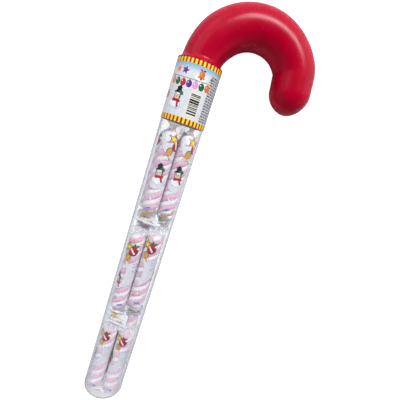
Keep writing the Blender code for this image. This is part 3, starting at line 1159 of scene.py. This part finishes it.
def lantern():
    """A black lantern with a red bow and holly, on a mound of snow."""
    parts = [
        disc(0, -6.2, 15.4, 10, "snow", 0), disc(-0.6, -5.8, 12.6, 8, "white", 1),
        bar(0, 1.4, 7.6, 8.8, "black", 2), bar(0, 1.6, 6, 7.4, "white", 3),
        disc(0.4, 1, 2.6, 4.6, "orange", 4), disc(0.4, 0.6, 1.3, 2.6, "yellow", 5),
        bar(-1.9, 1.6, 0.6, 7.4, "black", 5), bar(2.6, 1.6, 0.6, 7.4, "black", 5),
        wedge(0, 6.6, 11.6, 6.4, "black", 4), bar(0, 6, 9.6, 1.5, "black", 5, 6),
        bar(0.2, 9, 5.4, 4.6, "black", 4, 6), disc(0.4, 11.6, 2.6, 2.2, "black", 4),
        bar(0, -3, 9, 1.7, "black", 4), disc(-2.4, -2.6, 5.4, 3.2, "red", 6, 18),
        disc(2.6, -2.6, 5.4, 3.2, "red", 6, -14), disc(0.2, -2.7, 2.2, 2.4, "wine", 7),
        bar(2.8, -5.8, 2.2, 5, "red", 5, 16), bar(3.4, -8, 2.2, 1.5, "purple", 6, 16),
        disc(4, 5.6, 4.8, 2.5, "green", 6, -40), disc(2.2, 6.8, 4, 2.2, "green", 6, 20),
    ]
    parts += dashes(0, -6.2, 15.4, 10, 8, "ice", 2)
    return motif("lantern", parts)


def present():
    """A square red present with a green ribbon and a gold bow."""
    parts = [
        bar(0, -1.5, 8.6, 7.6, "black", 0, 8), bar(0, -1.5, 7.8, 6.8, "red", 1, 8),
        bar(0, -1.5, 1.5, 6.8, "white", 2, 8), bar(0.2, -1.3, 7.8, 1.2, "green", 3, 8),
        disc(-2.2, 3.8, 4.4, 2.4, "gold", 3, -25), disc(1.6, 4.3, 4.4, 2.4, "gold", 3, 35),
        disc(-0.3, 3.2, 1.9, 1.9, "orange", 4), disc(3.8, 1.8, 2.8, 1.6, "green", 4, 30),
    ]
    return motif("present", parts)


def fir():
    """A fir of three stacked wedges with snow on them and a gold star."""
    parts = [bar(0, -5.6, 1.6, 2.6, "orange", 0)]
    for tier, (y, wide) in enumerate(((-3, 9.6), (0.2, 7.6), (3, 5.4))):
        parts.append(wedge(0, y, wide, 6, "green", tier + 1))
        parts.append(wedge(0, y + 1.6, wide * 0.42, 2.6, "white", tier + 1.5))
    parts.append(star(0, 6.6, 3.4, "gold", 5))
    return motif("fir", parts)


def bell():
    """An orange bell with a bow, on a white mound."""
    parts = [
        disc(0, -2.6, 14, 8, "snow", 1), disc(0, 0.4, 6.6, 7.6, "orange", 2),
        disc(-1, 1, 2, 4.4, "gold", 3), bar(0, -2.8, 8, 1.7, "orange", 3),
        disc(0, -4.2, 2.2, 2.2, "wine", 4), disc(-1.8, 4.8, 3.2, 1.8, "red", 4, -20),
        disc(1.8, 4.8, 3.2, 1.8, "red", 4, 20),
    ]
    return motif("bell", parts)


def put(shape, x, y, turn=0, scale=1):
    """A copy of a flat motif, moved and turned in the flat print."""
    twin = copy_of(shape, shape.name)
    twin.location = (x * MM, y * MM, 0)
    twin.rotation_euler = (0, 0, math.radians(turn))
    twin.scale = (scale, scale, 1)
    return settle(twin)


PARCEL = parcel()
LANTERN = lantern()
PRESENT = present()
FIR = fir()
BELL = bell()
MASTERS = (PARCEL, LANTERN, PRESENT, FIR, BELL)
print("motifs:", [master.name for master in MASTERS])

# %% [markdown]
# ## The flat print of a wrapper
#
# Unrolled, the film is 60 mm round, and x runs round the twist from its front while y runs up from its
# bottom. Pale fields with slanting edges cover part of it, and motifs, snow dots and blue strokes lie on
# top. Wrappers come off one roll at chance positions, so each layer shows another stretch of it.

# %% The flat print of a wrapper
FIELD_SLICE = 1.2 * MM
FIELD_RISE = 3 * MM


def field(*corners):
    """A pale field with rounded corners, the lowest print."""
    return patch(rounded(corners), "haze", 0)


def upper_print():
    """The stretch of the roll that the upper wrappers show."""
    parts = [
        field((-9, 92), (-10, 83), (-5.5, 75), (2, 68), (9, 63), (15, 68), (20, 82),
              (21, 94), (4, 94)),
        field((-10, 40), (-9, 31), (-2, 28), (8, 33), (12, 42), (4, 44)),
        field((-28, 96), (-26, 40), (-22, 36), (-20, 60), (-23, 96)),
        put(PARCEL, 8, 80.5, -10, 1.22), put(LANTERN, -0.4, 46, 8), put(PRESENT, 24, 60, 12, 1.4),
        bar(-2.5, 6.2, 6.5, 1.5, "blue", 2, 24), bar(-4.6, 5.2, 3.4, 1.2, "ice", 3, -30),
        wedge(7, 4.6, 6.6, 6.2, "gold", 2, 20), disc(7, 4.4, 2, 2, "ice", 3),
        bar(1, 1.2, 10, 1.2, "gold", 2, 14),
    ]
    parts += snow_dots(16, 10, 26, 11)
    parts += snow_dots(12, 58, 72, 13)
    parts += strokes(9, -15, 58, 8, 30, "ice", 12)
    return parts


def middle_right_print():
    """The stretch of the roll that the middle front right wrapper shows."""
    parts = [
        field((-7, 62), (1, 58), (6, 62), (15, 60), (15, 40), (7, 35), (-3, 25),
              (-5, 28), (-1.5, 38), (-2, 52)),
        field((22, 90), (28, 90), (28, 30), (20, 26)),
        put(PARCEL, -2.2, 74, 6, 1.12), put(PRESENT, 23, 30, -10, 1.4),
        bar(2, 4, 6, 1.5, "blue", 2, 12), bar(5.5, 2.6, 4, 1.3, "ice", 2, -20),
        disc(-6, 12, 2.2, 2, "orange", 2),
    ]
    parts += snow_dots(16, 14, 36, 21)
    parts += strokes(14, 7.5, 54, 6, 14, "blue", 22)
    parts += strokes(8, -9, 16, 8, 14, "ice", 23)
    return parts


def middle_print():
    """The stretch of the roll that the other middle wrappers show, with a lantern more."""
    return middle_right_print() + [put(LANTERN, -9.6, 33, 8, 0.9)]


def lower_print():
    """The stretch of the roll that the lower wrappers show."""
    parts = [
        field((-2, 62), (8, 58), (15, 62), (16, 44), (8, 38), (-4, 30), (-14, 26),
              (-14, 34), (-3, 40), (-1, 52)),
        put(PARCEL, -4.6, 73, 8), put(LANTERN, -14, 42, -4, 0.8), put(PRESENT, 22, 62, 16, 1.4),
        bar(-1.5, 3, 5.6, 1.5, "ice", 2, -14), bar(0.6, 2.2, 3, 1, "blue", 3, -20),
    ]
    parts += snow_dots(14, 12, 40, 31)
    parts += strokes(16, 5, 54, 8, 12, "ice", 32)
    return parts


def flap_dots():
    """Snow dots on the clear upper flap."""
    top = TWIST_LENGTH / MM
    return snow_dots(34, top + 1.5, top + UPPER_FLAP / MM - 1, 41)


def flap_print():
    """Print on the white lower flap: a gold wedge, pale patches and marks, and a thin grey line of painted
    shadow under the twist's end.
    """
    parts = [
        disc(6.8, -5.2, 12.6, 6.4, "haze", 0), disc(6.6, -4.8, 9.4, 4.4, "snow", 1),
        bar(-8, -9, 10, 3.4, "sky", 0, -2), bar(-8, -9, 8.6, 2.4, "snow", 1, -2),
        wedge(-4, -6, 19, 11.6, "amber", 2, 12), disc(-3.8, -7, 5, 3.2, "ice", 3),
        disc(-3.8, -7, 2.2, 1.4, "blue", 4), bar(0, -11, 24, 0.45, "grey", 2, -1),
        bar(5, -10.2, 9, 0.7, "gold", 3, -3), bar(7.4, -9.6, 3.4, 0.6, "red", 4, -3),
        # The thin grey bar just below the twist's end is a painted shadow of the fold.
        bar(0, -1.6, 14, 0.35, "grey", 1, 2),
    ]
    parts += strokes(14, 4, -2.2, 16, 2, "ice", 42)
    parts += strokes(10, -9, -9, 8, 1.4, "ice", 43)
    return parts


def flat_print(name, parts):
    """Join a print with that of the lower flap and slice it, ready to wrap."""
    whole = join(f"flat_print_{name}", parts + flap_print())
    return slices(whole, FIELD_SLICE, FIELD_RISE)


FLAT_PRINTS = {
    "upper": flat_print("upper", upper_print()),
    "middle": flat_print("middle", middle_print() + flap_dots()),
    "middle_front_right": flat_print("middle_right", middle_right_print() + flap_dots()),
    "lower": flat_print("lower", lower_print() + flap_dots()),
}
print("print faces:", {layer: len(flat.data.polygons) for layer, flat in FLAT_PRINTS.items()})

# %% [markdown]
# ## Wrap the twelve twists
#
# A plain straight tube of film is swept once. For each twist a copy of it and a copy of its layer's print
# are carried to their place by the same rule, then joined. At the front the print is turned and shifted as
# the photograph shows, and at the back it is turned away by one set amount to each side.

# %% Wrap the twelve twists
FILM_SIDES = 56
FILM_RINGS = 110
FILM_LIFT = 0.03 * MM
WHITE_FLAP_TOP = -3.0 * MM
WHITE_FLAP_ENDS = {"front_right": -8.0 * MM}
PRINT_TURNS = {
    "upper_front_left": 0.0, "upper_front_right": 7.0,
    "middle_front_left": -2.0, "middle_front_right": -6.0,
    "lower_front_left": 2.0, "lower_front_right": 4.0,
}
PRINT_SHIFTS = {
    "upper_front_right": 2.5 * MM, "middle_front_left": -3.0 * MM, "middle_front_right": 6.0 * MM,
    "lower_front_right": -1.0 * MM,
}
PRINT_OVER = 2.5 * MM
BACK_PRINT_TURNS = {"back_right": 140.0, "back_left": -140.0}
FILM_SEED_STEP = 3.7
PRINT_START = 1.0 * MM


def straight_film():
    """An open tube of film along Y, from one flap's edge to the other's."""
    length = LOWER_FLAP + TWIST_LENGTH + UPPER_FLAP
    stations = []
    for ring in range(FILM_RINGS + 1):
        middle = Vector((0.0, length * ring / FILM_RINGS - LOWER_FLAP, 0.0))
        stations.append((middle, FILM_RADIUS, FILM_RADIUS, 0.0))
    film = swept("straight_film", FILM_SIDES, stations)
    face_outwards()
    for material in (FILM_CLEAR, FILM_WHITE, FILM_FLAP):
        film.data.materials.append(material)
    return film


def wrap_twist(number, place):
    """Film and print of one twist, carried to its place and joined."""
    key = place["key"]
    carry = film_place(place, number * FILM_SEED_STEP)
    film = copy_of(STRAIGHT_FILM, f"wrapper_{key}")
    film.data.materials[0] = FILM_MILKY if place["layer"] == "lower" else FILM_CLEAR
    white_end = WHITE_FLAP_ENDS.get(place["place"], -LOWER_FLAP)
    for face in film.data.polygons:
        if white_end < face.center.y < WHITE_FLAP_TOP:
            face.material_index = 1
        elif face.center.y > TWIST_LENGTH and place["layer"] != "upper":
            face.material_index = 2
    for vertex in film.data.vertices:
        vertex.co = carry(math.atan2(vertex.co.x, vertex.co.z), own_height(vertex.co.y, place), 0.0)
    flat = copy_of(FLAT_PRINTS.get(key, FLAT_PRINTS[place["layer"]]), f"print_{key}")
    turn = math.radians(PRINT_TURNS.get(key, BACK_PRINT_TURNS.get(place["place"])))
    shift = PRINT_SHIFTS.get(key, 0.0) + place["slip"]
    for vertex in flat.data.vertices:
        angle = vertex.co.x / FILM_RADIUS
        height = vertex.co.y
        if 0.0 < height < TWIST_LENGTH:
            angle += turn
            height = min(max(height + shift, PRINT_START), place["length"] + PRINT_OVER)
        else:
            height = own_height(height, place)
        vertex.co = carry(angle, height, FILM_LIFT + vertex.co.z)
    wrapper = join(f"wrapper_{key}", [film, flat])
    smooth(wrapper, 60.0)
    belongs(wrapper, "wrapped_marshmallow", f"wrapped_twist_{key}")
    return wrapper


STRAIGHT_FILM = straight_film()
for number, place in enumerate(TWIST_PLACES):
    wrap_twist(number, place)
for used in (STRAIGHT_FILM, *FLAT_PRINTS.values()):
    bpy.data.objects.remove(used)
print("wrappers made:", len(TWIST_PLACES))

# %% [markdown]
# ## The sleeve
#
# A glossy printed film sits round the tube's top. Its ground runs from sky blue under the upper stripes to
# white snow. A swept ring with a wall from Solidify gives it a true thickness.

# %% The sleeve
SLEEVE_THICKNESS = 0.2 * MM
SLEEVE_SIDES = 192
SLEEVE_RINGS = 8
PRINT_ROOM = 0.12 * MM
SKY_TOP = SLEEVE_HIGH.y - 5.0 * MM
SKY_END = SLEEVE_HIGH.y - 15.0 * MM


def sleeve_finish():
    """Sky that fades to snow down the sleeve, with soft clouds of unevenness."""
    material = finish(
        "sleeve_ground", (229, 231, 235), (220, 224, 232), 60.0, (0.2, 0.3), (300.0, 0.015 * MM),
        Specular_IOR_Level=0.25,
    )
    tree = material.node_tree
    shader = tree.nodes["Principled BSDF"]
    ground = shader.inputs["Base Color"].links[0].from_node
    place = node(tree, "TexCoord")
    split = node(tree, "SeparateXYZ")
    fade = node(tree, "MapRange", SMOOTH_STEP, From_Min=SKY_END, From_Max=SKY_TOP)
    mix = node(tree, "Mix", MIX_COLOURS, B=linear(INK_COLOURS["sky"]))
    wire(
        tree, (place, "Object", split, 0), (split, "Y", fade, "Value"), (fade, "Result", mix, "Factor"),
        (ground, "Color", mix, "A"), (mix, "Result", shader, "Base Color"),
    )
    return material


def sleeve_ground():
    """The bare sleeve, a thin open ring just outside the tube."""
    rise = (SLEEVE_HIGH.y - SLEEVE_LOW.y) / SLEEVE_RINGS
    wide = SLEEVE_RADIUS - PRINT_ROOM
    stations = [on_axis(SLEEVE_LOW.y + rise * ring, wide) for ring in range(SLEEVE_RINGS + 1)]
    sleeve = swept("sleeve_ground", SLEEVE_SIDES, stations)
    face_outwards()
    use_modifier(sleeve, "SOLIDIFY", thickness=SLEEVE_THICKNESS, offset=-1.0)
    smooth(sleeve, 40.0)
    sleeve.data.materials.append(sleeve_finish())
    belongs(sleeve, "printed_sleeve", "label_sleeve")
    return sleeve


sleeve = sleeve_ground()
print("sleeve faces:", len(sleeve.data.polygons))

# %% [markdown]
# ## The sleeve's print
#
# Unrolled, the sleeve is 160 mm round; x is measured round it from the front and y up from its lower edge.
# Red and yellow stripes run along both edges. Between them lie snowy hills, firs, a swag of coloured
# baubles, stars, a bell, a lantern, a panel of bars and a grey block of fine lines. It is drawn flat, sliced
# and wrapped in one go.

# %% The sleeve's print
SLEEVE_GIRTH = 2 * math.pi * SLEEVE_RADIUS / MM
SLEEVE_HEIGHT = (SLEEVE_HIGH.y - SLEEVE_LOW.y) / MM
STRIPE_PAIRS = 36
LOWER_BAND = 5.6
UPPER_BAND = 4.9
HILL_HEIGHT = 51.5
SLEEVE_SLICES = (1.0 * MM, 6.0 * MM)
SLEEVE_INK_LIFT = 0.01 * MM
BAUBLE_INKS = ("salmon", "green", "red", "purple", "pink", "green", "orange")
LINKS_PER_BALL = 3
STRING_RISE = 0.8
HILL_STEPS = 80
HILL_WAVES = ((2.2, 4, 0.8), (1.5, 9, 0.0))
PANEL_RIM = (2.4, 3.4)
BAR_WIDTHS = (0.7, 1.0, 1.5, 1.9)
BAR_GAPS = (0.5, 0.7, 1.1)
LINE_PITCH = 2.7
LINE_HEIGHT = 1.35
LINE_DASHES = (1.4, 4.4)
LINE_GAP = 1.2
LINE_START = 0.8
LINE_END = 2.4
# Each swag's start, end, height, sag, number of baubles, their size and its first ink
SWAGS = ((-29, 18, 41, 1.5, 7, 6.4, 0), (40, 78, 42, 5, 5, 6.2, 3), (-78, -34, 42, 5, 6, 6.2, 5))
# The two big stars' place, size, ink and turn
STARS = ((-22, 52, 9.2, "salmon", 10), (-13, 51.8, 9.8, "purple", -14))
STAR_RIM = 1.8


def stripes(low, high):
    """Red and yellow stripes between two heights, all round."""
    pitch = SLEEVE_GIRTH / STRIPE_PAIRS
    drawn = [bar(0, (low + high) / 2, SLEEVE_GIRTH, high - low, "yellow", 2)]
    for pair in range(STRIPE_PAIRS):
        x = -SLEEVE_GIRTH / 2 + (pair + 0.5) * pitch
        drawn.append(bar(x, (low + high) / 2, pitch / 2, high - low, "red", 3))
    return drawn


def snowy_hills():
    """A white hill line with rounded tops, all round."""
    outline = [(-SLEEVE_GIRTH / 2, LOWER_BAND)]
    for step in range(HILL_STEPS + 1):
        share = step / HILL_STEPS
        wave = sum(deep * math.sin(count * 2 * math.pi * share + start) for deep, count, start in HILL_WAVES)
        outline.append(((share - 0.5) * SLEEVE_GIRTH, HILL_HEIGHT + wave))
    outline.append((SLEEVE_GIRTH / 2, LOWER_BAND))
    return [patch(outline, "hill", 0)]


def bauble(x, y, size, ink):
    """An egg-shaped ornament with a white rim, a cap and a glint."""
    tall = size * 1.22
    return [
        disc(x, y, size + 1.2, tall + 1.2, "white", 1), disc(x, y, size, tall, ink, 2),
        bar(x, y + tall * 0.55, size * 0.34, size * 0.22, "gold", 3),
        disc(x - size * 0.2, y + size * 0.2, size * 0.16, size * 0.24, "white", 3, corners=8),
    ]


def swag(start, stop, high, sag, count, size, shift):
    """A string of baubles that hangs between two points."""
    drawn = []
    span = stop - start
    links = LINKS_PER_BALL * count
    for ball in range(count):
        share = (ball + 0.5) / count
        y = high - sag * 4 * share * (1 - share)
        drawn += bauble(start + span * share, y, size, BAUBLE_INKS[(ball + shift) % len(BAUBLE_INKS)])
    for link in range(links):
        share = (link + 0.5) / links
        slope = math.degrees(math.atan2(-sag * 4 * (1 - 2 * share), span))
        y = high + size * STRING_RISE - sag * 4 * share * (1 - share)
        drawn.append(bar(start + span * share, y, span / links * 1.1, 0.5, "green", 1, slope))
    return drawn


def bar_panel(x, y, wide, high, seed):
    """A cream panel of dark bars of uneven width, lying across the tube."""
    draw = random.Random(seed)
    drawn = [bar(x, y, wide + PANEL_RIM[0], high + PANEL_RIM[1], "cream", 1)]
    at = y - high / 2
    while at < y + high / 2 - 1:
        thick = draw.choice(BAR_WIDTHS)
        drawn.append(bar(x, at + thick / 2, wide, thick, "black", 2))
        at += thick + draw.choice(BAR_GAPS)
    return drawn


def fine_lines(x, y, wide, high, seed):
    """A pale grey block with rows of tiny dashes."""
    draw = random.Random(seed)
    drawn = [bar(x, y, wide, high, "mist", 1)]
    for row in range(int(high / LINE_PITCH)):
        line = y - high / 2 + LINE_PITCH * (row + 0.5)
        at = x - wide / 2 + LINE_START
        while at < x + wide / 2 - LINE_END:
            dash = draw.uniform(*LINE_DASHES)
            drawn.append(bar(at + dash / 2, line, dash, LINE_HEIGHT, "grey", 2))
            at += dash + LINE_GAP
    return drawn


# %% Draw and wrap the sleeve's print
def sleeve_drawing():
    """Everything printed on the sleeve, flat."""
    drawn = stripes(0, LOWER_BAND) + stripes(SLEEVE_HEIGHT - UPPER_BAND, SLEEVE_HEIGHT) + snowy_hills()
    for settings in SWAGS:
        drawn += swag(*settings)
    for x, y, size, ink, turn in STARS:
        drawn += [star(x, y, size + STAR_RIM, "white", 1, turn), star(x, y, size, ink, 2, turn)]
    drawn += [
        put(BELL, 5, 51.2, 0, 0.95), put(FIR, 17, 50.5, 0, 0.6), put(LANTERN, -14.4, 23.4, -4, 1.02),
        put(PRESENT, -31, 26, -10, 0.8), put(PARCEL, -58, 22), put(BELL, -46, 50), put(FIR, -45, 20),
        put(FIR, -70, 22, 0, 1.1), put(PRESENT, 52, 20), put(LANTERN, 66, 22), put(FIR, 42, 24, 0, 0.9),
    ]
    return drawn + bar_panel(5.4, 21.4, 10.6, 21.6, 5) + fine_lines(25.8, 31.5, 19.4, 50, 6)


def sleeve_print():
    """The drawing, sliced and wrapped round the sleeve."""
    flat = slices(join("sleeve_print", sleeve_drawing()), *SLEEVE_SLICES)
    base = SLEEVE_RADIUS - PRINT_ROOM + SLEEVE_INK_LIFT
    for vertex in flat.data.vertices:
        angle = vertex.co.x / SLEEVE_RADIUS
        reach = base + vertex.co.z
        around = Vector((reach * math.sin(angle), SLEEVE_LOW.y + vertex.co.y, reach * math.cos(angle)))
        vertex.co = AXIS + around
    smooth(flat, 30.0)
    belongs(flat, "printed_sleeve", "label_sleeve")
    return flat


drawing = sleeve_print()
for master in MASTERS:
    bpy.data.objects.remove(master)
print("sleeve print faces:", len(drawing.data.polygons))
